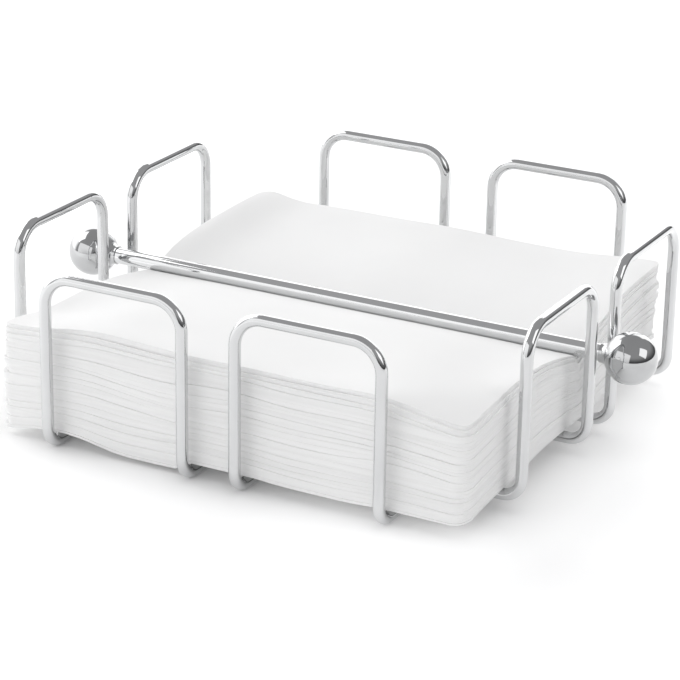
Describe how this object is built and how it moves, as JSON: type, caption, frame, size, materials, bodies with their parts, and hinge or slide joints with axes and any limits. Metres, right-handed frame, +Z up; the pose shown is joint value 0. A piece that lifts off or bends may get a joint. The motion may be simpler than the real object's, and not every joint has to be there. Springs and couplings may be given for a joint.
{
  "type": "napkin holder",
  "caption": "Open square wire tray of crossed bent loops that stands folded napkins flat, with a loose ball-ended weight bar lying across the stack.",
  "frame": {"origin": "on the table under the middle of the tray", "axes": "+X along the weight bar to the right, +Y to the back, +Z up"},
  "size_m": [0.2168, 0.1838, 0.0604],
  "materials": {
    "loop_chrome": "bright chrome plate on steel wire",
    "bar_chrome": "bright chrome plate on turned steel",
    "napkin_paper": "soft white tissue, lightly creped"
  },
  "bodies": {
    "frame": {"lower_loop_left": "loop_chrome", "lower_loop_right": "loop_chrome", "upper_loop_front": "loop_chrome", "upper_loop_back": "loop_chrome"},
    "napkins": {"napkin_01": "napkin_paper", "napkin_02": "napkin_paper", "napkin_03": "napkin_paper", "napkin_04": "napkin_paper", "napkin_05": "napkin_paper", "napkin_06": "napkin_paper", "napkin_07": "napkin_paper", "napkin_08": "napkin_paper", "napkin_09": "napkin_paper", "napkin_10": "napkin_paper", "napkin_11": "napkin_paper", "napkin_12": "napkin_paper", "napkin_13": "napkin_paper", "napkin_14": "napkin_paper", "napkin_15": "napkin_paper", "napkin_16": "napkin_paper", "napkin_17": "napkin_paper", "napkin_18": "napkin_paper", "napkin_19": "napkin_paper", "napkin_20": "napkin_paper", "napkin_21": "napkin_paper", "napkin_22": "napkin_paper", "napkin_23": "napkin_paper", "napkin_24": "napkin_paper"},
    "weight_bar": {"weight_rod": "bar_chrome", "end_ball_left": "bar_chrome", "end_ball_right": "bar_chrome"}
  },
  "joints": [
    {"name": "napkin_lift", "type": "slide", "parent": "frame", "child": "napkins", "axis": [0, 0, 1], "range_m": [0, 0.065]},
    {"name": "bar_lift", "type": "slide", "parent": "napkins", "child": "weight_bar", "axis": [0, 0, 1], "range_m": [0, 0.04]}
  ]
}
